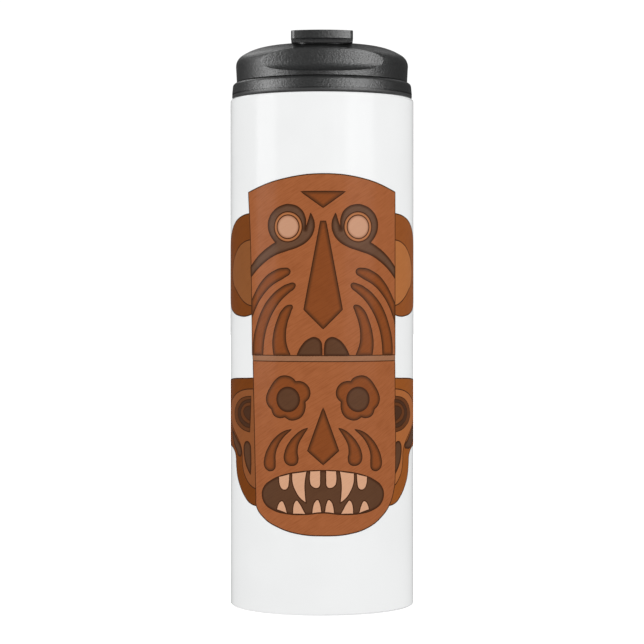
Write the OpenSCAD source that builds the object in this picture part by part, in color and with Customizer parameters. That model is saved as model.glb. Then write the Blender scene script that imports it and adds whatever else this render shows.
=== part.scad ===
// Insulated tumbler with a screw lid and a flip tab.
// Millimetres, +Z up. The origin is the middle of the resting face and the drinking side faces -Y.

/* [Body] */
// Outside radius of the coated shell
shell_r = 33; // [27:0.5:42]
// Height of the mouth rim above the table
rim_z = 181.8; // [120:0.1:240]
// Sheet thickness of the outer shell
shell_t = 0.5; // [0.4:0.05:0.8]
// Outside rounding where the shell turns in to the rim
shoulder_r = 1.1; // [1:0.1:2]
// Rounding of the shell's bottom edge
foot_edge_r = 0.4; // [0.2:0.05:0.4]
// Sheet thickness of the inner liner
liner_t = 0.5; // [0.4:0.05:0.8]
// Vacuum gap between the liner and the shell at the threaded mouth
mouth_gap = 2.1; // [1.7:0.1:4]
// Vacuum gap under the liner
floor_gap = 4; // [3.5:0.1:8]
// Inside corner radius of the liner's floor
liner_corner_r = 6; // [3:0.5:12]

/* [Base] */
// Sheet thickness of the outer bottom
bottom_t = 0.5; // [0.4:0.05:0.8]
// Thickness of the foot pad
pad_t = 1.5; // [1:0.1:2.5]
// How far the foot pad stands below the shell's edge
pad_proud = 0.3; // [0.1:0.05:0.6]
// Gap round the foot pad
pad_margin = 1; // [0.3:0.1:3]
// Inside radius of the evacuation dimple
dimple_r = 7; // [5:0.5:9]
// Depth of the evacuation dimple
dimple_d = 1.2; // [1:0.1:1.8]
// Radius of the evacuation hole
evac_r = 0.8; // [0.5:0.1:1.2]
// Radius of the sealing bead
bead_r = 2.5; // [1.8:0.1:4]
// Height of the sealing bead
bead_h = 0.9; // [0.5:0.1:1]
// Radius of the getter capsule
getter_r = 4; // [3:0.1:5]
// Height of the getter capsule
getter_h = 2.2; // [1.5:0.1:2.8]
// Distance of the getter capsule from the axis
getter_x = 15; // [13:0.5:20]

/* [Screw thread] */
// Number of thread starts
thread_starts = 3; // [2:1:4]
// Axial distance between neighbouring ridges
thread_pitch = 3; // [2.5:0.1:3.6]
// Height of the liner's ridges
ridge_h = 1; // [0.8:0.1:1.4]
// Width of a ridge at its root
ridge_root_w = 1.4; // [1:0.1:1.7]
// Width of a ridge at its crest
ridge_crest_w = 0.7; // [0.4:0.1:0.9]
// Arc of each ridge in the liner
liner_ridge_arc = 150; // [90:6:180]
// Arc of each ridge on the lid
lid_ridge_arc = 120; // [90:6:150]
// Depth of the threaded stretch below the rim
thread_zone = 9; // [8.5:0.1:14]
// Depth of the liner's lowest ridge start below the rim
thread_depth = 7.4; // [7:0.1:7.6]
// Clearance from a ridge crest to the facing wall
crest_gap = 0.4; // [0.3:0.05:0.6]

/* [Lid] */
// Depth of the lid's skirt below the rim
skirt_depth = 12.5; // [12.5:0.1:20]
// Wall of the skirt
skirt_t = 2; // [1.8:0.1:3]
// Thickness of the rim gasket
gasket_t = 1.1; // [1:0.05:2.5]
// How far the gasket's edge stays inside the shell's radius
gasket_inset = 0.55; // [0.3:0.05:1]
// Rounding of the gasket's lower edge
gasket_edge_r = 0.8; // [0.4:0.05:0.9]
// Section radius of the throat seal
seal_r = 0.8; // [0.6:0.05:1]
// Gap left between the throat seal and the throat
seal_gap = 0.15; // [0.1:0.05:0.3]
// Height of the collar above the gasket
collar_h = 4.5; // [3.3:0.05:8]
// How far the collar stays inside the shell's radius
collar_inset = 0.55; // [0:0.05:1]
// Draft of the collar's side
collar_draft = 0.25; // [0:0.05:0.6]
// Rounding of the collar's top edge
collar_edge_r = 1.4; // [0.5:0.1:1.5]
// Height of the groove over the gasket
groove_h = 0.45; // [0.2:0.05:0.8]
// Depth of the groove over the gasket
groove_d = 0.3; // [0.2:0.05:1.2]
// Thickness of the lid's floor
lid_floor_t = 2.35; // [1.5:0.05:3]
// Height of the drum above the collar
drum_h = 12.75; // [11:0.05:20]
// How far the drum stays inside the collar's radius
drum_inset = 1.4; // [1.3:0.1:3]
// How much the drum widens from its foot to its fillet
drum_flare = 0.3; // [0:0.05:1]
// Bevel of the drum's foot
drum_bevel = 0.35; // [0.2:0.05:0.6]
// Rounding of the drum's shoulder
drum_edge_r = 4.2; // [3:0.1:5]
// Width of the dome, from the drum's side to its flat top
dome_w = 12.35; // [11:0.05:13]
// Radius of the dome's curve above the shoulder
dome_r = 19; // [18:0.5:24]
// Wall of the drum
lid_wall = 1.8; // [1.4:0.1:2.2]

/* [Thumb scoop] */
// Half width of the scoop
scoop_w = 21.5; // [18:0.1:23]
// Depth of the scoop at its middle
scoop_d = 2.6; // [1:0.1:2.9]
// Height of the scoop's corners above the collar
scoop_z = 5.5; // [5:0.1:6]
// Radius of the scoop's lower curve
scoop_edge_r = 4.4; // [3.5:0.1:4.8]
// Rounding of the scoop's upper edge
scoop_top_r = 2.5; // [2.3:0.1:3]
// Depth below the lid's top at which that rounding starts
scoop_top_d = 3.9; // [3.5:0.1:4.5]

/* [Drink port and vent] */
// Distance of the drink port from the axis
port_y = 19; // [17:0.1:19.5]
// Radius of the drink port's ends
port_r = 4; // [3:0.1:4.2]
// Half distance between the drink port's end centres
port_half = 3.5; // [2:0.1:5]
// Wall of the spout and of the vent tube
spout_t = 1.6; // [1:0.1:2]
// Distance of the vent from the axis
vent_y = 5; // [4:0.1:7]
// Radius of the vent
vent_r = 1.5; // [1.3:0.1:2]

/* [Flip tab] */
// Width of the tab
tab_w = 21.7; // [20:0.1:26]
// Thickness of the tab's plate
tab_t = 2.8; // [2:0.1:4]
// Height of the tab's neck under the plate
neck_h = 0.3; // [0.2:0.1:2.5]
// How far the neck's sides are set in from the plate's
neck_inset = 0.4; // [0.3:0.1:2]
// Thickness of the tab's lip in front of the spout
lip_t = 1.1; // [0.8:0.1:1.5]
// How far the lip hangs below the lid's top
lip_d = 0.8; // [0.3:0.1:1]
// Gap between the lip and the lid's dome under it
lip_gap = 0.3; // [0.2:0.05:0.5]
// Rounding of the plate's front corners, seen from above
tab_corner_r = 2; // [1:0.1:4]
// How far the tab's front edge stays inside the drum's radius
tab_inset = 2.6; // [2:0.1:5]
// Gap between the lid's top and the tab
tab_gap = 0.3; // [0.2:0.05:0.6]
// Distance of the hinge behind the axis
hinge_y = 4; // [3:0.1:10]
// Radius of the hinge barrel and lugs
barrel_r = 1.9; // [1.7:0.1:2.4]
// Radius of the hinge pin
pin_r = 0.9; // [0.75:0.05:1.1]
// Running clearance of the tab on the pin
pin_run = 0.05; // [0.03:0.01:0.1]
// Interference of the pin in the lugs
pin_press = 0.02; // [0.01:0.005:0.03]
// Distance of each hinge lug from the middle
lug_x = 5.2; // [4:0.1:6]
// Thickness of each hinge lug
lug_t = 2.6; // [2:0.1:3]
// Gap between the tab and each lug
lug_gap = 0.3; // [0.2:0.05:0.6]
// How far the pin's ends stay inside the tab's sides
pin_inset = 0.2; // [0:0.05:0.5]
// Clearance of the stopper in the drink port
plug_gap = 0.3; // [0.25:0.05:0.5]
// How much each stopper tapers to its tip
plug_taper = 0.7; // [0.5:0.1:1]
// Depth of the drink stopper in the port
plug_d = 3.5; // [2.5:0.1:4]
// How far a stopper's head reaches past its hole
head_lip = 0.6; // [0.4:0.1:1]
// Depth of the vent stopper in the vent
vent_plug_d = 1.5; // [1:0.1:2]
// Clearance of the vent stopper in the vent
vent_plug_gap = 0.5; // [0.5:0.05:0.6]

/* [Hidden] */
$fn = 96;
seam = 0.02;            // joint line between pieces that are welded or bonded
face_gap = 0.05;        // gap between the rim, the gasket and the lid
ridge_step = 6;         // degrees between the rings of a thread ridge
ridge_fade = 12;        // degrees over which a ridge rises at its ends
ridge_sink = 0.25;      // how far a ridge is rooted in its wall
thread_turn = 8;        // angle of the first ridge start
cut = 1;                // run-out of cuts through a face
skirt_gap = 0.1;        // gap round the skirt in the gasket and to the throat
locator_h = 2.3;        // height of the ring that centres the drum on the lid's base
locator_t = 1.6;        // wall of that ring
head_sink = 0.5;        // how deep a stopper's head sits in the tab's plate
locator_clear = 4;      // how far that ring stays clear of the scoop's corners
seal_sink = 0.4;        // wall left under the throat seal's groove
getter_edge_r = 0.5;    // rounding of the getter capsule's top edge
pad_edge_r = 0.3;       // rounding of the foot pad's lower edge
pin_edge_r = 0.25;      // rounding of the hinge pin's ends

// Body
shell_in = shell_r - shell_t;
mouth_out = shell_in - mouth_gap;
mouth_r = mouth_out - liner_t;
throat_r = mouth_r - ridge_h;
bottom_z = pad_t + bottom_t;
liner_z = bottom_z + floor_gap;
thread_z0 = rim_z - thread_zone;
pad_r = shell_in - bottom_t - pad_margin;

// Thread
lead = thread_starts * thread_pitch;
liner_thread_z = rim_z - thread_depth;
lid_thread_z = liner_thread_z + thread_pitch / 2;

// Lid
skirt_r = throat_r - crest_gap - skirt_gap;
skirt_z = rim_z - skirt_depth;
seal_z = skirt_z + seal_r + seal_sink;
seal_ring_r = throat_r - seal_gap - seal_r;
gasket_z = rim_z + face_gap;
flange_z = gasket_z + gasket_t + face_gap;
collar_z = flange_z + collar_h;
collar_r = shell_r - collar_inset;
drum_r = collar_r - drum_inset;
lid_z = collar_z + drum_h;
flat_r = drum_r - dome_w;
dome_z = lid_z - dome_r;
edge_x = drum_r - drum_edge_r;
edge_z = dome_z + sqrt(pow(dome_r - drum_edge_r, 2) - pow(edge_x - flat_r, 2));
floor_z = flange_z + lid_floor_t;
locator_r = drum_r - drum_flare - lid_wall - skirt_gap;

// Scoop: a vertical curve through both corners and the deepest point
scoop_sag = drum_r - scoop_d - sqrt(drum_r * drum_r - scoop_w * scoop_w);
scoop_r = (scoop_w * scoop_w + scoop_sag * scoop_sag) / (2 * scoop_sag);
scoop_y = scoop_r - (drum_r - scoop_d);
scoop_corner_z = collar_z + scoop_z;
scoop_top_z = lid_z - scoop_top_d;

// Tab
neck_z = lid_z + tab_gap;
plate_z = neck_z + neck_h;
tab_z = plate_z + tab_t;
hinge_z = neck_z + barrel_r;
tab_front_r = drum_r - tab_inset;
neck_front = port_y + port_r + spout_t;
// The lip hangs where the dome has dropped clear of it
lip_y = flat_r + sqrt(pow(dome_r, 2) - pow(dome_r - lip_d - lip_gap, 2));
head_z = lid_z + face_gap;
head_top = plate_z + head_sink;

// Half section of a turned block, with its outer top and bottom edges rounded
module turned(r, z0, z1, top_r, low_r) {
    translate([0, z0 + low_r]) square([r, z1 - z0 - low_r - top_r]);
    if (low_r > 0) {
        translate([0, z0]) square([r - low_r, 2 * low_r]);
        translate([r - low_r, z0 + low_r]) circle(r = low_r);
    }
    if (top_r > 0) {
        translate([0, z1 - 2 * top_r]) square([r - top_r, 2 * top_r]);
        translate([r - top_r, z1 - top_r]) circle(r = top_r);
    }
}

// How far a ridge has risen at angle a of its arc: 0 at the ends and 1 between them
function rise(a, arc) = min(1, min(a, arc - a) / ridge_fade);

// One ring of a ridge: root radius, crest radius and height of its middle
function ridge_ring(a, root, crest, z) = [
    for (p = [[root, -ridge_root_w], [crest, -ridge_crest_w], [crest, ridge_crest_w], [root, ridge_root_w]])
        [p[0] * cos(a), p[0] * sin(a), z + p[1] / 2]
];

// A helical ridge from a wall at wall_r to a crest at crest_r, rooted in the wall
module ridge(wall_r, crest_r, z0, arc) {
    side = sign(wall_r - crest_r);
    root = wall_r + side * ridge_sink;
    low = wall_r + side * ridge_sink / 2;
    count = round(arc / ridge_step);
    rings = [
        for (i = [0:count])
            let (a = arc * i / count)
                ridge_ring(a, root, low + (crest_r - low) * rise(a, arc), z0 + lead * a / 360)
    ];
    quads = [
        for (i = [0:count - 1], k = [0:3])
            let (p = 4 * i + k, q = 4 * i + (k + 1) % 4)
                [p, q, q + 4, p + 4]
    ];
    faces = concat([[3, 2, 1, 0]], quads, [[4 * count, 4 * count + 1, 4 * count + 2, 4 * count + 3]]);
    turned_faces = [for (f = faces) [for (i = [len(f) - 1:-1:0]) f[i]]];
    polyhedron(points = [for (ring = rings) each ring], faces = side > 0 ? turned_faces : faces);
}

module thread(wall_r, crest_r, z0, arc) {
    for (s = [0:thread_starts - 1])
        rotate([0, 0, thread_turn + s * 360 / thread_starts]) ridge(wall_r, crest_r, z0, arc);
}

// Slot with round ends, lying along X at the drink port
module port_slot(r) {
    translate([0, -port_y]) {
        square([2 * port_half, 2 * r], center = true);
        for (x = [-port_half, port_half]) translate([x, 0]) circle(r = r);
    }
}

module outer_shell() {
    color("white")
    rotate_extrude() difference() {
        turned(shell_r, pad_proud, rim_z, shoulder_r, foot_edge_r);
        turned(shell_in, -cut, rim_z - shell_t, shoulder_r - shell_t, 0);
        square([mouth_out + seam, rim_z + cut]);
    }
}

module liner_section(grow) {
    turned(throat_r + grow, liner_z + liner_t - grow, thread_z0, 0, liner_corner_r + grow);
    translate([0, thread_z0]) square([mouth_r + grow, thread_zone]);
    polygon([
        [0, thread_z0 - ridge_h], [throat_r + grow, thread_z0 - ridge_h],
        [mouth_r + grow, thread_z0], [0, thread_z0]
    ]);
}

module inner_liner() {
    color("silver") {
        rotate_extrude() difference() {
            liner_section(liner_t);
            liner_section(0);
            translate([0, rim_z - cut]) square([mouth_r, 2 * cut]);
        }
        thread(mouth_r, throat_r, liner_thread_z, liner_ridge_arc);
    }
}

module outer_bottom() {
    color("silver")
    rotate_extrude() difference() {
        union() {
            translate([0, pad_proud]) square([shell_in - seam, bottom_z - pad_proud]);
            translate([0, bottom_z - cut]) square([dimple_r + bottom_t, dimple_d + cut]);
        }
        translate([0, -cut]) square([shell_in - bottom_t, pad_t + cut]);
        square([dimple_r, pad_t + dimple_d]);
        square([evac_r, bottom_z + dimple_d + cut]);
    }
}

module getter_capsule() {
    color("dimgray")
    translate([getter_x, 0, bottom_z]) rotate_extrude() turned(getter_r, 0, getter_h, getter_edge_r, 0);
}

module vacuum_seal() {
    color("lightgray")
    translate([0, 0, pad_t + dimple_d - bead_h])
        rotate_extrude() turned(bead_r, 0, bead_h, 0, bead_h / 2);
}

module base_pad() {
    color("gainsboro")
    rotate_extrude() turned(pad_r, 0, pad_t, 0, pad_edge_r);
}

module rim_gasket() {
    color("dimgray")
    rotate_extrude() translate([0, gasket_z]) intersection() {
        turned(shell_r - gasket_inset, 0, gasket_t + cut, 0, gasket_edge_r);
        translate([skirt_r + skirt_gap, 0]) square([shell_r, gasket_t]);
    }
}

module lid_base_section() {
    difference() {
        union() {
            translate([0, skirt_z]) square([skirt_r, flange_z - skirt_z + cut]);
            translate([0, flange_z]) square([collar_r - groove_d, groove_h + cut]);
            polygon([
                [0, flange_z + groove_h], [collar_r, flange_z + groove_h],
                [collar_r - collar_draft, collar_z - collar_edge_r], [0, collar_z - collar_edge_r]
            ]);
            translate([0, collar_z - 2 * collar_edge_r])
                square([collar_r - collar_draft - collar_edge_r, 2 * collar_edge_r]);
            translate([collar_r - collar_draft - collar_edge_r, collar_z - collar_edge_r])
                circle(r = collar_edge_r);
        }
        translate([0, skirt_z - cut]) square([skirt_r - skirt_t, skirt_depth + flange_z - rim_z + cut]);
        translate([0, floor_z]) square([locator_r - locator_t, collar_z]);
        translate([seal_ring_r, seal_z]) circle(r = seal_r + face_gap);
    }
}

module lid_base() {
    locator_low = collar_z - cut;
    clear_w = scoop_w + locator_clear;
    color("black")
    difference() {
        union() {
            rotate_extrude() lid_base_section();
            thread(skirt_r, mouth_r - crest_gap, lid_thread_z, lid_ridge_arc);
            difference() {
                rotate_extrude() translate([locator_r - locator_t, locator_low])
                    square([locator_t, locator_h + cut]);
                translate([-clear_w, -shell_r, collar_z]) cube([2 * clear_w, shell_r, drum_h]);
            }
        }
        translate([0, 0, flange_z - cut]) linear_extrude(lid_floor_t + 2 * cut) port_slot(port_r);
        translate([0, -vent_y, flange_z - cut]) cylinder(r = vent_r, h = lid_floor_t + 2 * cut);
    }
}

// Half section of the drum, set in by a wall: a flared side, a round shoulder and a shallow dome
module drum_section(wall, z0) {
    // A point well outside the line where the shoulder's curve runs on into the dome's
    reach = 2 * dome_r / (dome_r - drum_edge_r);
    past = [flat_r + reach * (edge_x - flat_r), dome_z + reach * (edge_z - dome_z)];
    polygon([
        [0, z0], [drum_r - drum_flare - wall - drum_bevel, z0],
        [drum_r - drum_flare - wall, z0 + drum_bevel], [drum_r - wall, edge_z], [0, edge_z]
    ]);
    translate([0, edge_z - cut]) square([flat_r, lid_z - wall - edge_z + cut]);
    translate([edge_x, edge_z]) circle(r = drum_edge_r - wall);
    intersection() {
        translate([flat_r, dome_z]) circle(r = dome_r - wall);
        polygon([[flat_r, edge_z - cut], [edge_x, edge_z - cut], [edge_x, edge_z], past, [flat_r, past[1]]]);
    }
}

// Everything outside the scoop's curve, moved back by a wall
module scoop_ring(wall) {
    width = 2 * shell_r;
    r = scoop_r - wall;
    edge = scoop_edge_r + wall;
    top = scoop_top_r - wall;
    translate([0, scoop_y, 0]) rotate_extrude() {
        translate([r, scoop_corner_z]) square([width, drum_h]);
        translate([r + edge, scoop_corner_z - edge]) square([width - edge, edge + cut]);
        translate([r + edge, scoop_corner_z]) circle(r = edge);
        translate([r - top, scoop_top_z]) difference() {
            square([top + cut, drum_h]);
            circle(r = top);
        }
    }
}

module lug(x) {
    translate([x, hinge_y, hinge_z]) rotate([0, 90, 0]) cylinder(r = barrel_r, h = lug_t);
    translate([x, hinge_y - barrel_r, lid_z - cut]) cube([lug_t, 2 * barrel_r, hinge_z - lid_z + cut]);
}

module lid_top() {
    color("black")
    difference() {
        union() {
            rotate_extrude() difference() {
                drum_section(0, collar_z);
                drum_section(lid_wall, collar_z - drum_bevel - cut);
            }
            intersection() {
                rotate_extrude() drum_section(0, collar_z);
                scoop_ring(lid_wall);
            }
            translate([0, 0, floor_z]) linear_extrude(lid_z - floor_z) port_slot(port_r + spout_t);
            translate([0, -vent_y, floor_z]) cylinder(r = vent_r + spout_t, h = lid_z - floor_z - cut);
            lug(lug_x);
            lug(-lug_x - lug_t);
        }
        scoop_ring(0);
        translate([0, 0, floor_z - cut]) linear_extrude(lid_z) port_slot(port_r);
        translate([0, -vent_y, floor_z - cut]) cylinder(r = vent_r, h = lid_z);
        translate([-shell_r, hinge_y, hinge_z]) rotate([0, 90, 0])
            cylinder(r = pin_r - pin_press, h = 2 * shell_r);
    }
}

module throat_seal() {
    color("gray")
    rotate_extrude() translate([seal_ring_r, seal_z]) circle(r = seal_r);
}

module hinge_pin() {
    length = tab_w - 2 * pin_inset;
    color("silver")
    translate([-length / 2, hinge_y, hinge_z]) rotate([0, 90, 0])
        rotate_extrude() turned(pin_r, 0, length, pin_edge_r, pin_edge_r);
}

// Outline of the tab's plate: straight sides, a round front and rounded front corners
module plate_outline() {
    corner_x = tab_w / 2 - tab_corner_r;
    corner_y = sqrt(pow(tab_front_r - tab_corner_r, 2) - corner_x * corner_x);
    reach = (tab_front_r + cut) / (tab_front_r - tab_corner_r);
    difference() {
        intersection() {
            circle(r = tab_front_r);
            translate([-tab_w / 2, -shell_r]) square([tab_w, shell_r + hinge_y]);
        }
        for (s = [-1, 1]) difference() {
            polygon([
                [s * corner_x, -corner_y], [s * tab_w, -corner_y],
                [s * tab_w, -shell_r], [s * corner_x * reach, -corner_y * reach]
            ]);
            translate([s * corner_x, -corner_y]) circle(r = tab_corner_r);
        }
    }
}

// Room for a lug and its swing, from the lug's near side at x
module lug_slot(x) {
    front = hinge_y - barrel_r - lug_gap;
    translate([x - lug_gap, front, lid_z])
        cube([lug_t + 2 * lug_gap, 2 * barrel_r + lug_gap + cut, tab_gap + 2 * barrel_r + cut]);
}

module flip_tab() {
    neck_w = tab_w - 2 * neck_inset;
    color("black")
    difference() {
        union() {
            translate([0, 0, plate_z]) linear_extrude(tab_t) plate_outline();
            translate([-neck_w / 2, -neck_front, neck_z]) cube([neck_w, neck_front + hinge_y, neck_h + cut]);
            translate([-neck_w / 2, -lip_y - lip_t, lid_z - lip_d])
                cube([neck_w, lip_t, plate_z - lid_z + lip_d + cut]);
            translate([-tab_w / 2, hinge_y, hinge_z]) rotate([0, 90, 0]) cylinder(r = barrel_r, h = tab_w);
        }
        translate([0, 0, neck_z - cut]) linear_extrude(head_top - neck_z + cut)
            port_slot(port_r + head_lip + seam);
        translate([0, -vent_y, neck_z - cut])
            cylinder(r = vent_r + head_lip + seam, h = head_top - neck_z + cut);
        translate([-shell_r, hinge_y, hinge_z]) rotate([0, 90, 0])
            cylinder(r = pin_r + pin_run, h = 2 * shell_r);
        lug_slot(lug_x);
        lug_slot(-lug_x - lug_t);
    }
}

module drink_plug() {
    tip_r = port_r - plug_gap - plug_taper;
    color("dimgray") {
        translate([0, 0, head_z]) linear_extrude(head_top - head_z) port_slot(port_r + head_lip);
        hull() for (x = [-port_half, port_half])
            translate([x, -port_y, lid_z - plug_d])
                cylinder(r1 = tip_r, r2 = port_r - plug_gap, h = plug_d + 2 * face_gap);
    }
}

module vent_plug() {
    base_r = vent_r - vent_plug_gap;
    color("dimgray")
    translate([0, -vent_y, 0]) {
        translate([0, 0, head_z]) cylinder(r = vent_r + head_lip, h = head_top - head_z);
        translate([0, 0, lid_z - vent_plug_d])
            cylinder(r1 = base_r * (1 - plug_taper / 2), r2 = base_r, h = vent_plug_d + 2 * face_gap);
    }
}

outer_shell();
inner_liner();
outer_bottom();
getter_capsule();
vacuum_seal();
base_pad();
rim_gasket();
lid_base();
lid_top();
throat_seal();
hinge_pin();
flip_tab();
drink_plug();
vent_plug();
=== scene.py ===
import math

import bmesh
import bpy
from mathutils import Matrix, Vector


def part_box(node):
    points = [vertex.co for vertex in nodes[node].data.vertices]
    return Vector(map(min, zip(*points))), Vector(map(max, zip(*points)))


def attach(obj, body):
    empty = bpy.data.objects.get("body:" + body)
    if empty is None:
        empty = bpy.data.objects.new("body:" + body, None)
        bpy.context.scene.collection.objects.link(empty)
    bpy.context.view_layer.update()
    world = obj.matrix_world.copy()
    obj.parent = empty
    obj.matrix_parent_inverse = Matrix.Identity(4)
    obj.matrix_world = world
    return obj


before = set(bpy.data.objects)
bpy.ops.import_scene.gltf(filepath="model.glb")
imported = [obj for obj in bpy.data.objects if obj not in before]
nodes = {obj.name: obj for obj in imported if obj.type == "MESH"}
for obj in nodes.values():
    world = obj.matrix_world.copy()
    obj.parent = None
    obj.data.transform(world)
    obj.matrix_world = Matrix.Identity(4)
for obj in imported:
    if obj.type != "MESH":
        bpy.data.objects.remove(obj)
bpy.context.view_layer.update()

mm = 0.001


def srgb(red, green, blue):
    # screen colour, 0 to 255, to the linear colour that the shader wants
    def linear(value):
        share = value / 255
        return share / 12.92 if share <= 0.04045 else ((share + 0.055) / 1.055) ** 2.4
    return (linear(red), linear(green), linear(blue), 1.0)


# ---- shader helpers

class Value:
    # a number inside a material, so that sums can be written as sums
    def __init__(self, finish, socket):
        self.finish = finish
        self.socket = socket

    def math(self, operation, first, second):
        return self.finish.node("ShaderNodeMath", {"operation": operation}, {0: first, 1: second})

    def __add__(self, other):
        return self.math("ADD", self, other)

    def __radd__(self, other):
        return self.math("ADD", other, self)

    def __sub__(self, other):
        return self.math("SUBTRACT", self, other)

    def __rsub__(self, other):
        return self.math("SUBTRACT", other, self)

    def __mul__(self, other):
        return self.math("MULTIPLY", self, other)

    def __rmul__(self, other):
        return self.math("MULTIPLY", other, self)


class Finish:
    def __init__(self, name):
        self.material = bpy.data.materials.new(name)
        self.material.use_nodes = True
        self.tree = self.material.node_tree
        self.shader = self.tree.nodes["Principled BSDF"]

    def put(self, socket, value):
        if isinstance(value, Value):
            self.tree.links.new(value.socket, socket)
        else:
            socket.default_value = value

    def node(self, kind, settings, inputs, output=0):
        made = self.tree.nodes.new(kind)
        for key, setting in settings.items():
            setattr(made, key, setting)
        for key, value in inputs.items():
            self.put(made.inputs[key], value)
        return Value(self, made.outputs[output])

    def set(self, **sockets):
        for name, value in sockets.items():
            self.put(self.shader.inputs[name.replace("_", " ")], value)

    def place(self, scale=(1, 1, 1), turn=(0, 0, 0), source="Object"):
        coords = self.tree.nodes.new("ShaderNodeTexCoord")
        spot = Value(self, coords.outputs[source])
        return self.node("ShaderNodeMapping", {}, {"Vector": spot, "Scale": scale, "Rotation": turn})

    def noise(self, where, scale, detail=2.0, rough=0.5):
        return self.node("ShaderNodeTexNoise", {}, {
            "Vector": where, "Scale": scale, "Detail": detail, "Roughness": rough})

    def mix(self, share, low, high):
        # sockets 6 and 7 are the colours, and output 2 is their mix
        return self.node("ShaderNodeMix", {"data_type": "RGBA"}, {0: share, 6: low, 7: high}, 2)

    def stretch(self, value, low, high, start=0.0, end=1.0):
        return self.node("ShaderNodeMapRange", {"interpolation_type": "SMOOTHSTEP"}, {
            "Value": value, "From Min": low, "From Max": high, "To Min": start, "To Max": end})

    def bump(self, height, depth, strength=1.0):
        return self.node("ShaderNodeBump", {}, {
            "Height": height, "Distance": depth, "Strength": strength})

    def attribute(self, name):
        return self.node("ShaderNodeAttribute", {"attribute_name": name}, {}, 2)


# ---- finishes

def whiteCoat(name, look):
    # glossy powder coat with a faint ripple
    coat = Finish(name)
    cloud = coat.noise(coat.place(), 45.0, 2.0)
    peel = coat.noise(coat.place(), 420.0, 2.0)
    tone = coat.mix(coat.stretch(cloud, 0.35, 0.65), srgb(*look["dark"]), srgb(*look["tone"]))
    rough = look["rough"] + 0.05 * coat.stretch(cloud, 0.3, 0.7)
    coat.set(Base_Color=tone, Roughness=rough, Normal=coat.bump(peel, look["ripple"] * mm, 0.35),
             Specular_IOR_Level=look["gloss"])
    return coat.material


def steel(name, look):
    # drawn and polished steel: fine rings round the axis and a little staining
    metal = Finish(name)
    tone = srgb(*look["tone"])
    rings = metal.noise(metal.place((60, 60, look["lines"])), 1.0, 3.0, 0.6)
    stain = metal.noise(metal.place(), 90.0, 3.0)
    dull = tuple(0.86 * part for part in tone[:3]) + (1.0,)
    colour = metal.mix(metal.stretch(stain, 0.35, 0.7), tone, dull)
    metal.set(Base_Color=colour, Metallic=1.0, Roughness=look["rough"] + 0.16 * (rings - 0.5),
              Normal=metal.bump(rings, 0.01 * mm, 0.4))
    return metal.material


def mouldedPlastic(name, look):
    # satin black moulding with a fine spark-eroded grain
    plastic = Finish(name)
    tone = srgb(*look["tone"])
    fine = plastic.noise(plastic.place(), 1500.0, 2.0, 0.5)
    broad = plastic.noise(plastic.place(), 70.0, 3.0)
    pale = tuple(2.1 * part for part in tone[:3]) + (1.0,)
    speck = plastic.stretch(fine, 0.4, 0.66)
    colour = plastic.mix(0.25 * plastic.stretch(broad, 0.3, 0.75) + 0.6 * speck, tone, pale)
    plastic.set(Base_Color=colour, Roughness=look["rough"] + 0.07 * (broad - 0.5) + 0.05 * (fine - 0.5),
                Normal=plastic.bump(fine, look["grain"] * mm), Specular_IOR_Level=0.65)
    return plastic.material


def silicone(name, look):
    # matt rubber with a haze and a little dust
    rubber = Finish(name)
    tone = srgb(*look["tone"])
    dust = rubber.noise(rubber.place(), 800.0, 4.0, 0.65)
    haze = rubber.noise(rubber.place(), 60.0, 2.0)
    pale = tuple(1.5 * part + 0.004 for part in tone[:3]) + (1.0,)
    colour = rubber.mix(rubber.stretch(haze, 0.35, 0.7, 0.0, 0.7), tone, pale)
    rubber.set(Base_Color=colour, Roughness=look["rough"] + 0.1 * (dust - 0.5),
               Normal=rubber.bump(dust, 0.02 * mm, 0.4))
    return rubber.material


inkLook = {"slant": -31, "stretch": (4, 60, 1), "edge": 0.3, "rough": 0.2, "gloss": 0.02}


def ink(name, look):
    # printed ink: slanting wood streaks, and a drawn shadow along the outline where reach is set
    tone = srgb(*look["tone"])
    shade = srgb(*look["shade"])
    paint = Finish(name)
    flat = paint.place((1, 1, 1), (0, 0, math.radians(inkLook["slant"])), "UV")
    drawn = paint.node("ShaderNodeMapping", {}, {"Vector": flat, "Scale": inkLook["stretch"]})
    grain = paint.noise(drawn, 4.0, 6.0, 0.6)
    wash = paint.noise(paint.place((1, 1, 1), (0, 0, 0), "UV"), 22.0, 2.0)
    colour = paint.mix(paint.stretch(grain, 0.42, 0.68, 0.0, look["streaks"]), tone, shade)
    colour = paint.mix(paint.stretch(wash, 0.4, 0.7, 0.0, 0.35 * look["streaks"]), colour, shade)
    if "reach" in look:
        edge = paint.stretch(paint.attribute("edge"), inkLook["edge"], look["reach"], 1.0, 0.0)
        colour = paint.mix(edge, colour, srgb(*look["deep"]))
    paint.set(Base_Color=colour, Roughness=inkLook["rough"] + 0.08 * (grain - 0.5),
              Specular_IOR_Level=inkLook["gloss"])
    return paint.material


# ---- studio: the camera, the lights and the floor

cameraLook = {"distance": 0.777, "height": 0.1095, "focal": 120.2, "sensor": 36.0, "lower": -0.0342}


def addCamera():
    data = bpy.data.cameras.new("camera")
    data.lens = cameraLook["focal"]
    data.sensor_width = cameraLook["sensor"]
    data.shift_y = cameraLook["lower"]
    data.clip_start = 0.01
    data.dof.use_dof = False
    camera = bpy.data.objects.new("camera", data)
    camera.location = (0, -cameraLook["distance"], cameraLook["height"])
    camera.rotation_euler = (math.radians(90), 0, 0)
    bpy.context.scene.collection.objects.link(camera)
    bpy.context.scene.camera = camera


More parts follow.
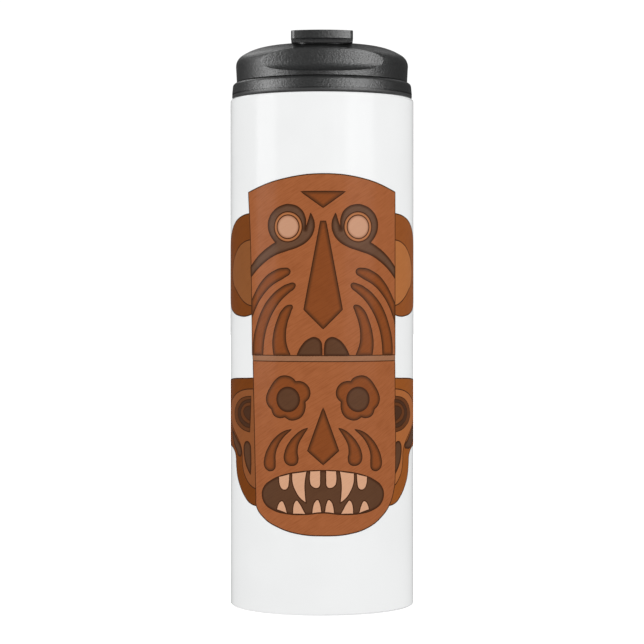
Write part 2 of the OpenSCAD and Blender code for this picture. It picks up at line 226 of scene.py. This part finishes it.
# boxes that only show as a sheen, and two soft lamps that only light;
# height is the box's own, and level is the height that it is aimed at
lights = [
    {"name": "leftBox", "turn": -73, "away": 0.9, "height": 0.42, "level": 0.42, "size": (0.48, 0.74),
     "power": 10.6, "sheen": True},
    {"name": "rightBox", "turn": 48, "away": 0.9, "height": 0.46, "level": 0.46, "size": (0.6, 0.82),
     "power": 10.6, "sheen": True},
    {"name": "frontBox", "turn": 27, "away": 1.0, "height": 0.36, "level": 0.36, "size": (0.6, 0.62),
     "power": 2.6, "sheen": True},
    {"name": "backLeftBox", "turn": -142, "away": 0.73, "height": 0.88, "level": 0.19, "size": (0.5, 0.5),
     "power": 2.6, "sheen": True},
    {"name": "backRightBox", "turn": 145, "away": 0.7, "height": 0.9, "level": 0.19, "size": (0.5, 0.5),
     "power": 0.8, "sheen": True},
    {"name": "leftLamp", "turn": -42, "away": 0.6, "height": 0.7, "level": 0.1, "size": (0.5, 0.5),
     "power": 0.45, "sheen": False},
    {"name": "rightLamp", "turn": 38, "away": 0.6, "height": 0.7, "level": 0.1, "size": (0.5, 0.5),
     "power": 0.65, "sheen": False},
]
roomLight = {"seen": 1.05, "cast": 0.86, "mirrored": 0.12}


def addLights():
    for setup in lights:
        data = bpy.data.lights.new(setup["name"], "AREA")
        data.shape = "RECTANGLE"
        data.size, data.size_y = setup["size"]
        data.energy = setup["power"]
        lamp = bpy.data.objects.new(setup["name"], data)
        turn = math.radians(setup["turn"])
        lamp.location = (setup["away"] * math.sin(turn), -setup["away"] * math.cos(turn), setup["height"])
        aim = Vector((0, 0, setup["level"])) - lamp.location
        lamp.rotation_euler = aim.to_track_quat("-Z", "Y").to_euler()
        lamp.visible_diffuse = not setup["sheen"]
        lamp.visible_glossy = setup["sheen"]
        bpy.context.scene.collection.objects.link(lamp)
    print("lights hung:", len(lights))


def addWorld():
    # a white room that is brightest where it is looked at, and dim in the reflections
    world = bpy.data.worlds.new("whiteRoom")
    world.use_nodes = True
    tree = world.node_tree
    path = tree.nodes.new("ShaderNodeLightPath")
    strength = roomLight["cast"]
    for ray, value in (("Is Glossy Ray", "mirrored"), ("Is Camera Ray", "seen")):
        step = tree.nodes.new("ShaderNodeMapRange")
        tree.links.new(path.outputs[ray], step.inputs["Value"])
        if isinstance(strength, float):
            step.inputs["To Min"].default_value = strength
        else:
            tree.links.new(strength, step.inputs["To Min"])
        step.inputs["To Max"].default_value = roomLight[value]
        strength = step.outputs["Result"]
    back = tree.nodes["Background"]
    back.inputs["Color"].default_value = (1, 1, 1, 1)
    tree.links.new(strength, back.inputs["Strength"])
    bpy.context.scene.world = world
    bpy.context.scene.view_settings.view_transform = "Standard"


floorLook = {"half": 6.0, "light": (254, 254, 254), "dark": (250, 250, 250), "glow": 0.7}


def addFloor():
    bm = bmesh.new()
    bmesh.ops.create_grid(bm, x_segments=1, y_segments=1, size=floorLook["half"])
    floor = keep(bm, "floor")
    paper = Finish("whitePaper")
    fibre = paper.noise(paper.place(), 300.0, 3.0)
    paper.set(Base_Color=paper.mix(fibre, srgb(*floorLook["dark"]), srgb(*floorLook["light"])),
              Roughness=0.9, Emission_Color=(1, 1, 1, 1), Emission_Strength=floorLook["glow"])
    floor.data.materials.append(paper.material)
    floor.visible_diffuse = False
    floor.visible_glossy = False
    print("floor laid")


# ---- mesh helpers

def keep(bm, name, smooth=None):
    mesh = bpy.data.meshes.new(name)
    bm.to_mesh(mesh)
    bm.free()
    piece = bpy.data.objects.new(name, mesh)
    bpy.context.scene.collection.objects.link(piece)
    if smooth is not None:
        mesh.shade_smooth()
        mesh.set_sharp_from_angle(angle=math.radians(smooth))
    return piece


# ---- the print: outlines on the unrolled wall, in millimetres along the wall and up

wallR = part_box("outer_shell")[1].x / mm
artX = 0.4         # the middle line of the drawing
artZ = 0.8         # how far the drawing is raised on the wall
bandTop = 89.4     # the band between the two faces
bandFoot = 87.4
underBand = 87.5   # strokes run this far down, and are cut off at the band
corner = "corner"

faceOutlines = {
    "upper": [
        (-29.7, 146.5, corner), (-14.4, 150.7), (0.4, 152.4), (14.9, 150.9), (29.4, 146.6, corner),
        (29.4, bandTop, corner), (-27.5, bandTop, corner), (-27.8, 106), (-28.5, 130)],
    "lower": [
        (-27.1, bandFoot, corner), (29.3, bandFoot, corner), (29.4, 46), (28.7, 42), (26.4, 37),
        (22.7, 33.2), (17, 29.7), (9.4, 27.6), (0.4, 27.1), (-8.5, 27.7), (-16.2, 29.8), (-21.7, 32.6),
        (-25.4, 36.6), (-25.6, 40), (-26.2, 58)],
}
# two points on each side of the upper face, and the way that is outside
faceSides = [((-27.6, 100), (-29, 140), -1), ((29.4, 100), (29.4, 140), 1)]
bandOutline = [(-27.3, bandTop, corner), (29.3, bandTop, corner), (29.3, bandFoot, corner),
               (-27.1, bandFoot, corner)]

# left halves, measured from the middle line of the drawing; the right halves are mirrored.
# side and foot cut a stroke off at its face's edge, and single has no mirrored half
carvings = {
    "forehead": {"points": [(-7.8, 146.3, corner), (7.8, 146.3, corner), (0, 140.7, corner)],
                 "single": True},
    "noseUpper": {"points": [(-0.9, 136, corner), (0.9, 136, corner), (6.7, 105.4, corner),
                             (0, 98.7, corner), (-6.7, 105.4, corner)], "single": True},
    "noseLower": {"points": [(0, 71.4, corner), (5.4, 56.5, corner), (0, 51.7, corner),
                             (-5.4, 56.5, corner)], "single": True},
    "cheekHigh": {"points": [
        (-31, 103.6), (-28.2, 108.5), (-22.1, 116.1), (-18.2, 118.6), (-14.5, 119.7), (-11.9, 119.2),
        (-11.8, 118), (-13.4, 116.8), (-18.7, 113.9), (-22.1, 111), (-25.2, 107.3), (-28.2, 102.2),
        (-31, 96)],
        "side": "upper"},
    "cheekMiddle": {"points": [
        (-27.4, underBand, corner), (-27.2, 94.5), (-25.5, 100), (-22.7, 105.6), (-19.3, 109.7),
        (-15.5, 112.7), (-12.6, 114.1), (-10, 114.3), (-9.9, 113.3), (-12.1, 111.3), (-14.5, 109.3),
        (-17.6, 105.6), (-20.4, 100.6), (-22.1, 95.1), (-22.8, underBand, corner)], "foot": bandTop},
    "cheekLow": {"points": [
        (-17.5, underBand, corner), (-18.4, 92.9), (-18.1, 96.5), (-16.6, 101.5), (-14.5, 105.3),
        (-12, 106.9), (-10.9, 106.6), (-11.3, 105), (-12.8, 100.7), (-13.4, 96.6), (-13, 93),
        (-10.6, underBand, corner)],
        "foot": bandTop},
    "petals": {"points": [
        (-16.8, 81.2), (-14.9, 82.2), (-12.4, 82.2), (-10.6, 81.4), (-9.7, 80.4, corner), (-7.9, 80.4),
        (-6, 79.5), (-4.7, 77.4), (-4.9, 75), (-6.3, 73.4, corner), (-6.3, 71.2), (-7.4, 68.6),
        (-9.5, 67.3), (-11.6, 67.1), (-13.6, 68.1, corner), (-15.8, 67.8), (-17.9, 68.7),
        (-18.9, 70.7, corner), (-20.4, 72.1), (-21.1, 74.2), (-20.5, 76.4), (-19.6, 77.9)]},
    "dropOuter": {"points": [
        (-11.2, 63.8, corner), (-14, 63), (-17.1, 60.9), (-20.1, 57.4), (-21.9, 53.2), (-21.9, 50.8),
        (-20.7, 49.5), (-19.2, 49.2), (-17.7, 50), (-17.4, 52), (-17.4, 54.8), (-16.5, 57.7),
        (-14.4, 60.9)]},
    "dropInner": {"points": [
        (-5.4, 64.3, corner), (-7.3, 63.6), (-9.7, 61.8), (-12.1, 59), (-13.6, 55.8), (-13.8, 53.3),
        (-12.8, 51.8), (-11.1, 51.3), (-9.4, 51.9), (-8.8, 53.5), (-9.1, 55.9), (-8.7, 58.7),
        (-7.3, 61.4)]},
}
hollows = {
    "eyeSurround": {"points": [
        (-11.6, 141.8), (-8, 140.3), (-6.3, 137.4), (-6.1, 134.7), (-6.3, 132.9, corner),
        (-5.3, 135.6), (-4.3, 138.8, corner), (-3.1, 135.4), (-3.6, 131.9), (-5.5, 129.2),
        (-8.7, 127.2), (-13, 125.8), (-17.6, 124.3), (-22.1, 121.8), (-25.8, 119.1),
        (-31.5, 113.8, corner), (-31.5, 117.4, corner), (-25.8, 123.1), (-22.1, 125.9),
        (-19.3, 127.6, corner), (-17.3, 128.7, corner), (-19.4, 131.4), (-20.3, 134.3), (-19.8, 137.2),
        (-17.9, 139.7), (-14.9, 141.4)],
        "side": "upper", "sheet": "printBrows"},
    "nostril": {"points": [
        (-10, underBand, corner), (-7.3, 93), (-5, 95.1), (-2.9, 95.7), (-1, 94.5), (-0.5, 92.2),
        (-0.5, underBand, corner)],
        "foot": bandTop},
    "pupil": {"centre": (-12.5, 74.2), "radius": 4.25, "level": "detail"},
    "mouth": {"points": [
        (-23, 41), (-22, 43.6), (-19.3, 45.7), (-14.2, 47.9), (-7, 49.3), (0, 49.7), (7, 49.3),
        (14.2, 47.9), (19.3, 45.7), (22, 43.6), (23, 41), (21.9, 37.9), (18.2, 35.6), (12.8, 34.5),
        (6.4, 34.4), (0, 35), (-6.4, 34.4), (-12.8, 34.5), (-18.2, 35.6), (-21.9, 37.9)], "single": True},
}
teeth = {
    "incisor": [(-4.6, 49.5, corner), (-4.7, 46), (-4.1, 44.3), (-2.1, 43.5), (-1.2, 44.1),
                (-0.9, 46.5), (-0.9, 49.7, corner)],
    "fang": [(-11, 48.6, corner), (-10.9, 45.5), (-9.7, 42.3), (-8, 39.9), (-5.9, 38.3, corner),
             (-6.2, 41.5), (-6.3, 44.8), (-5.7, 49.4, corner)],
    "molar": [(-16, 47.3, corner), (-15.8, 44.8), (-14.9, 43.1), (-13.6, 42.7), (-12.5, 43.4),
              (-12, 45.4), (-11.8, 48.4, corner)],
    "lowIncisor": [(-3.9, 34.8, corner), (-3.6, 37.2), (-2.9, 38.9), (-1.9, 39.6), (-1.1, 38.4),
                   (-0.5, 35.2, corner)],
    "lowFang": [(-10.7, 34.5, corner), (-10.6, 36.9), (-10, 38.7), (-9.3, 39.3), (-8.2, 38.3),
                (-6.9, 36.1), (-6, 34.5, corner)],
    "lowMolar": [(-16.8, 35.8, corner), (-16.3, 37.5), (-15.5, 38.6), (-14.6, 38.9), (-13.7, 37.7),
                 (-12.7, 34.6, corner)],
}
ears = {
    "upperOuter": [(-27, 139.3, corner), (-34, 138.3), (-40.5, 135.8), (-46.5, 131.3), (-51, 126),
                   (-52.8, 119), (-51.6, 112), (-47.5, 107), (-41.5, 104.3), (-36, 103.2),
                   (-31.5, 103), (-27, 103.9, corner)],
    "upperInner": [(-27, 130.1, corner), (-33.2, 128.9), (-38.6, 125.7), (-42.2, 121.5), (-43, 118),
                   (-41.6, 114.3), (-39, 112.4), (-34, 108.9), (-30.5, 107.2), (-27, 106.5, corner)],
    "lowerOuter": [(-27, 81.3, corner), (-46, 80.2), (-54, 78.8, corner), (-56.5, 70), (-54.5, 61.5),
                   (-48.7, 57.3), (-41.5, 55.6), (-39.3, 53.6), (-38.7, 50.2), (-37.6, 46.3),
                   (-35.3, 42.9), (-32.2, 39.7), (-28.9, 37.4), (-24, 36.4, corner)],
    "lowerInner": [(-27, 77.5, corner), (-31.3, 77.2), (-35.8, 76.3), (-40.8, 74.5), (-45.6, 71.6),
                   (-47, 68.2), (-44.6, 64.8), (-39.3, 61.2), (-35.8, 58.5), (-33.9, 55.4),
                   (-33.6, 51.8), (-32.8, 48.4), (-30.7, 45.4), (-28.3, 43.5), (-24, 42, corner)],
    "canalOuter": [(-28.2, 74.9, corner), (-32.8, 74.3), (-36.6, 72.8), (-39.5, 70.4), (-40.4, 68),
                   (-39.1, 65.9), (-36, 64.1), (-32.3, 62.8), (-28.9, 62.3, corner), (-28.5, 68)],
    "canalDark": [(-28.3, 73.8, corner), (-32, 73.2), (-35.3, 71.5), (-37.2, 69), (-36.4, 66.8),
                  (-34, 65.1), (-31.4, 64.1), (-28.9, 63.8, corner), (-28.5, 68)],
    "canalBrown": [(-28.4, 72.8, corner), (-31.4, 72.3), (-33.7, 70.9), (-34.8, 69), (-34, 67.2),
                   (-31.8, 65.9), (-28.9, 65, corner), (-28.5, 68)],
    "canalCore": [(-28.5, 71.5, corner), (-30.6, 71.2), (-32.3, 70.3), (-32.8, 69.2), (-32, 68),
                  (-30.6, 67), (-28.9, 66.3, corner), (-28.6, 69)],
    "leafLong": [(-30.5, 58.9), (-32.1, 58), (-32.6, 56.1), (-32.1, 53), (-31, 50.5), (-29.7, 48.7),
                 (-28.5, 47.4, corner), (-28.2, 51), (-28.3, 55), (-28.8, 58)],
    "leafWide": [(-45.2, 64, corner), (-40.4, 61), (-37.6, 58.9), (-35.2, 57), (-35.6, 56.2, corner),
                 (-40.4, 56.1), (-43.7, 57.5), (-47.7, 59.8)],
    "leafShort": [(-44, 62.6, corner), (-40.2, 60.8), (-37.2, 58.8), (-34.8, 56.6), (-34.4, 54),
                  (-35.8, 53.4), (-38.5, 55.5), (-41.6, 58.3)],
}
# how the film is built up and cut, in millimetres
film = {"first": 0.014, "step": 0.014, "thick": 0.008, "line": 0.38, "fineLine": 0.32, "cell": 1.0,
        "fineCell": 0.5, "longest": 1.2, "shortest": 0.1, "bandLine": 0.25, "crease": 40,
        "uvTile": 100.0, "far": 9.0, "snap": 0.001, "curveSteps": 8, "roundSteps": 48}
earShift = 0.8    # the mirrored ears sit this far along, twice the middle line
level = {"ear": 0, "innerEar": 1, "earMarks": 2, "face": 2.5, "carving": 3.5, "detail": 4.5, "eye": 5.5}
eyes = {"centre": (-12.5, 134.1), "ring": 5.25, "ball": 4.1}


def outlineLoop(points, shiftX, mirror):
    # a closed smooth curve through the points, as one flat face
    curve = bpy.data.curves.new("outline", "CURVE")
    curve.dimensions = "2D"
    curve.fill_mode = "NONE"
    curve.resolution_u = film["curveSteps"]
    spline = curve.splines.new("BEZIER")
    spline.use_cyclic_u = True
    spline.bezier_points.add(len(points) - 1)
    for knot, point in zip(spline.bezier_points, points):
        knot.co = ((shiftX - point[0]) if mirror else (shiftX + point[0]), point[1], 0)
        kind = "VECTOR" if len(point) == 3 else "AUTO"
        knot.handle_left_type = kind
        knot.handle_right_type = kind
    drawn = bpy.data.objects.new("outline", curve)
    bpy.context.scene.collection.objects.link(drawn)
    bpy.context.view_layer.update()
    flat = bpy.data.meshes.new_from_object(drawn.evaluated_get(bpy.context.evaluated_depsgraph_get()))
    bpy.data.objects.remove(drawn)
    bpy.data.curves.remove(curve)
    bm = bmesh.new()
    bm.from_mesh(flat)
    bpy.data.meshes.remove(flat)
    bmesh.ops.remove_doubles(bm, verts=bm.verts, dist=film["shortest"])
    bmesh.ops.contextual_create(bm, geom=bm.edges[:])
    return bm


def roundLoop(centre, radius, shiftX, mirror):
    bm = bmesh.new()
    bmesh.ops.create_circle(bm, cap_ends=True, segments=film["roundSteps"], radius=radius)
    away = (shiftX - centre[0]) if mirror else (shiftX + centre[0])
    bmesh.ops.translate(bm, verts=bm.verts, vec=(away, centre[1], 0))
    return bm


def edgeDistance(spot, walls):
    nearest = film["far"]
    for start, end in walls:
        along = end - start
        share = max(0.0, min(1.0, (spot - start).dot(along) / max(along.length_squared, 1e-9)))
        nearest = min(nearest, (spot - start - along * share).length)
    return nearest


def sliceFilm(bm, cell, both):
    # cuts along the wall let the film bend, and cuts up it carry the drawn shadow
    for axis in ((0, 1) if both else (0,)):
        spots = [vert.co[axis] for vert in bm.verts]
        normal = (1, 0, 0) if axis == 0 else (0, 1, 0)
        count = math.floor(max(spots) / cell)
        while count * cell > min(spots):
            point = tuple(count * cell * part for part in normal)
            bmesh.ops.bisect_plane(bm, geom=bm.verts[:] + bm.edges[:] + bm.faces[:], dist=film["snap"],
                                   plane_co=point, plane_no=normal)
            count -= 1


def clip(bm, spec):
    # a stroke that runs over the edge of its face is cut off there
    if spec.get("foot"):
        bmesh.ops.bisect_plane(bm, geom=bm.verts[:] + bm.edges[:] + bm.faces[:], dist=film["snap"],
                               plane_co=(0, spec["foot"], 0), plane_no=(0, -1, 0), clear_outer=True)
    if spec.get("side"):
        for low, high, way in faceSides:
            normal = Vector((high[1] - low[1], low[0] - high[0], 0)) * way
            bmesh.ops.bisect_plane(bm, geom=bm.verts[:] + bm.edges[:] + bm.faces[:], dist=film["snap"],
                                   plane_co=(low[0], low[1], 0), plane_no=normal, clear_outer=True)


def widen(bm, reach):
    # moves a flat shape's edge outwards, so that its outline lies half outside the drawn curve
    moves = []
    for face in bm.faces:
        for loop in face.loops:
            ahead = (loop.link_loop_next.vert.co - loop.vert.co).normalized()
            behind = (loop.vert.co - loop.link_loop_prev.vert.co).normalized()
            away = (ahead + behind).cross(Vector((0, 0, 1)))
            folded = away.length < 10 * film["snap"]
            moves.append((loop.vert, away * 0 if folded else away.normalized() * reach))
    for vert, move in moves:
        vert.co += move


def splitOutline(bm, line):
    # the outline is the rim of an inset, and the fill is what it encloses
    bmesh.ops.remove_doubles(bm, verts=bm.verts, dist=film["shortest"])
    for edge in bm.edges[:]:
        cuts = math.floor(edge.calc_length() / film["longest"])
        if cuts:
            bmesh.ops.subdivide_edges(bm, edges=[edge], cuts=cuts)
    bmesh.ops.recalc_face_normals(bm, faces=bm.faces)
    if sum(face.normal.z for face in bm.faces) < 0:
        bmesh.ops.reverse_faces(bm, faces=bm.faces)
    widen(bm, line / 2)
    walls = [(edge.verts[0].co.copy(), edge.verts[1].co.copy()) for edge in bm.edges if edge.is_boundary]
    rim = bmesh.ops.inset_region(bm, faces=bm.faces[:], thickness=line, use_even_offset=False,
                                 use_boundary=True)["faces"]
    bm.faces.index_update()
    rimIds = {face.index for face in rim}
    lines = bm.copy()
    lines.faces.index_update()
    bmesh.ops.delete(lines, geom=[face for face in lines.faces if face.index not in rimIds], context="FACES")
    bmesh.ops.delete(bm, geom=rim, context="FACES")
    return lines, walls


printSheets = {}


def lay(bm, sheet, height, walls=None):
    # bends a flat film on to the wall and adds it to its sheet
    target = printSheets.setdefault(sheet, bmesh.new())
    edgeLayer = bm.verts.layers.float.new("edge")
    uvLayer = bm.loops.layers.uv.new("print")
    for vert in bm.verts:
        vert[edgeLayer] = edgeDistance(vert.co, walls) if walls else film["far"]
    for face in bm.faces:
        for loop in face.loops:
            loop[uvLayer].uv = loop.vert.co.xy / film["uvTile"]
    top = bmesh.ops.extrude_face_region(bm, geom=bm.faces[:], use_keep_orig=True)["geom"]
    lifted = [item for item in top if isinstance(item, bmesh.types.BMVert)]
    bmesh.ops.translate(bm, verts=lifted, vec=(0, 0, film["thick"]))
    bmesh.ops.recalc_face_normals(bm, faces=bm.faces)
    radius = wallR + film["first"] + film["step"] * height
    for vert in bm.verts:
        angle = vert.co.x / wallR
        reach = (radius + vert.co.z) * mm
        vert.co = Vector((reach * math.sin(angle), -reach * math.cos(angle), (vert.co.y + artZ) * mm))
    spare = bpy.data.meshes.new("spare")
    bm.to_mesh(spare)
    bm.free()
    target.from_mesh(spare)
    bpy.data.meshes.remove(spare)


def draw(bm, sheet, height, shaded=False, spec=None, line=film["line"]):
    clip(bm, spec or {})
    lines, walls = splitOutline(bm, line)
    sliceFilm(bm, film["fineCell"] if shaded else film["cell"], shaded)
    sliceFilm(lines, film["cell"], False)
    lay(bm, sheet, height, walls if shaded else None)
    lay(lines, "printLines", height)


earSheets = {"upperOuter": ("printEar", "ear"), "upperInner": ("printEarInner", "innerEar"),
             "lowerOuter": ("printEarLow", "ear"), "lowerInner": ("printEarLowInner", "innerEar")}


def drawEars(side, mirror):
    shift = earShift if mirror else 0.0
    for name, (sheet, height) in earSheets.items():
        draw(outlineLoop(ears[name], shift, mirror), sheet + side, level[height])
    for count, name in enumerate(("canalOuter", "canalDark", "canalBrown", "canalCore")):
        sheet = "printCanalDark" if count % 2 else "printCanals"
        draw(outlineLoop(ears[name], shift, mirror), sheet, level["earMarks"] + count, line=film["fineLine"])
    for name in ("leafLong", "leafWide" if mirror else "leafShort"):
        draw(outlineLoop(ears[name], shift, mirror), "printHollows", level["earMarks"], True)


def drawPrint():
    drawEars("Left", False)
    drawEars("Right", True)
    for outline in faceOutlines.values():
        draw(outlineLoop(outline, 0, False), "printFaces", level["face"])
    draw(outlineLoop(bandOutline, 0, False), "printBand", level["carving"], line=film["bandLine"])
    for sheet, specs in (("printCarvings", carvings), ("printHollows", hollows)):
        for name, spec in specs.items():
            for mirror in ((False,) if spec.get("single") else (False, True)):
                if "centre" in spec:
                    bm = roundLoop(spec["centre"], spec["radius"], artX, mirror)
                else:
                    bm = outlineLoop(spec["points"], artX, mirror)
                draw(bm, spec.get("sheet", sheet), level[spec.get("level", "carving")], True, spec)
    for mirror in (False, True):
        draw(roundLoop(eyes["centre"], eyes["ring"], artX, mirror), "printRings", level["detail"], True)
        draw(roundLoop(eyes["centre"], eyes["ball"], artX, mirror), "printEyes", level["eye"], True)
        for points in teeth.values():
            draw(outlineLoop(points, artX, mirror), "printTeeth", level["detail"])


inkLooks = {
    "printLines": {"tone": (72, 42, 25), "shade": (58, 34, 20), "streaks": 0.4},
    "printFaces": {"tone": (170, 101, 61), "shade": (148, 83, 46), "streaks": 0.6},
    "printBand": {"tone": (162, 114, 84), "shade": (148, 100, 70), "streaks": 0.5},
    "printCarvings": {"tone": (141, 77, 39), "shade": (124, 65, 31), "deep": (96, 56, 32), "streaks": 0.5,
                      "reach": 1.6},
    "printHollows": {"tone": (98, 66, 46), "shade": (88, 58, 40), "deep": (74, 46, 31), "streaks": 0.5,
                     "reach": 1.2},
    "printBrows": {"tone": (108, 77, 58), "shade": (94, 65, 48), "deep": (78, 50, 34), "streaks": 0.5,
                   "reach": 1.3},
    "printCanals": {"tone": (106, 62, 35), "shade": (94, 54, 29), "streaks": 0.4},
    "printCanalDark": {"tone": (80, 52, 36), "shade": (70, 44, 30), "streaks": 0.4},
    "printRings": {"tone": (184, 118, 74), "shade": (170, 104, 62), "deep": (140, 84, 50), "streaks": 0.3,
                   "reach": 0.7},
    "printEyes": {"tone": (206, 156, 126), "shade": (196, 144, 114), "deep": (172, 118, 88), "streaks": 0.3,
                  "reach": 1.2},
    "printTeeth": {"tone": (222, 170, 136), "shade": (208, 154, 120), "streaks": 0.4},
    "printEarLeft": {"tone": (128, 70, 30), "shade": (112, 60, 24), "streaks": 0.5},
    "printEarRight": {"tone": (152, 86, 42), "shade": (136, 74, 34), "streaks": 0.5},
    "printEarInnerLeft": {"tone": (146, 90, 50), "shade": (130, 78, 42), "streaks": 0.4},
    "printEarInnerRight": {"tone": (182, 114, 64), "shade": (166, 100, 54), "streaks": 0.4},
    "printEarLowLeft": {"tone": (124, 66, 25), "shade": (108, 57, 21), "streaks": 0.5},
    "printEarLowRight": {"tone": (156, 88, 38), "shade": (140, 76, 31), "streaks": 0.5},
    "printEarLowInnerLeft": {"tone": (148, 88, 50), "shade": (132, 77, 42), "streaks": 0.4},
    "printEarLowInnerRight": {"tone": (176, 106, 58), "shade": (160, 94, 50), "streaks": 0.4},
}


def addPrint():
    drawPrint()
    for name, bm in printSheets.items():
        look = inkLooks[name]
        sheet = keep(bm, name, film["crease"])
        sheet.data.materials.append(ink(name + "Ink", look))
        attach(sheet, "tumbler")
    print("print laid:", len(printSheets), "sheets")


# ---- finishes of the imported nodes

nodeLooks = {
    "whiteCoat": {"finish": whiteCoat, "nodes": ["outer_shell"], "tone": (249, 250, 250),
                  "dark": (247, 248, 248), "rough": 0.14, "gloss": 0.06, "ripple": 0.004},
    "linerSteel": {"finish": steel, "nodes": ["inner_liner"], "tone": (205, 205, 202), "rough": 0.3,
                   "lines": 900},
    "baseSteel": {"finish": steel, "nodes": ["outer_bottom"], "tone": (198, 198, 196), "rough": 0.38,
                  "lines": 700},
    "getterMetal": {"finish": steel, "nodes": ["getter_capsule"], "tone": (150, 148, 145), "rough": 0.5,
                    "lines": 500},
    "solder": {"finish": steel, "nodes": ["vacuum_seal"], "tone": (190, 190, 186), "rough": 0.35,
               "lines": 300},
    "pinSteel": {"finish": steel, "nodes": ["hinge_pin"], "tone": (200, 200, 198), "rough": 0.28,
                 "lines": 300},
    "padRubber": {"finish": silicone, "nodes": ["base_pad"], "tone": (206, 206, 204), "rough": 0.7},
    "gasketSilicone": {"finish": silicone, "nodes": ["rim_gasket"], "tone": (52, 52, 52), "rough": 0.5},
    "sealSilicone": {"finish": silicone, "nodes": ["throat_seal"], "tone": (140, 140, 140), "rough": 0.5},
    "plugSilicone": {"finish": silicone, "nodes": ["drink_plug", "vent_plug"], "tone": (70, 70, 70),
                     "rough": 0.55},
    "lidBlack": {"finish": mouldedPlastic, "nodes": ["lid_base", "lid_top"], "tone": (24, 25, 25),
                 "rough": 0.42, "grain": 0.16},
    "tabBlack": {"finish": mouldedPlastic, "nodes": ["flip_tab"], "tone": (27, 28, 28), "rough": 0.4,
                 "grain": 0.1},
}


def dressNodes():
    for name, look in nodeLooks.items():
        material = look["finish"](name, look)
        for node in look["nodes"]:
            nodes[node].data.materials.clear()
            nodes[node].data.materials.append(material)
    print("finishes on the nodes:", len(nodeLooks))


addCamera()
addLights()
addWorld()
addFloor()
dressNodes()
addPrint()
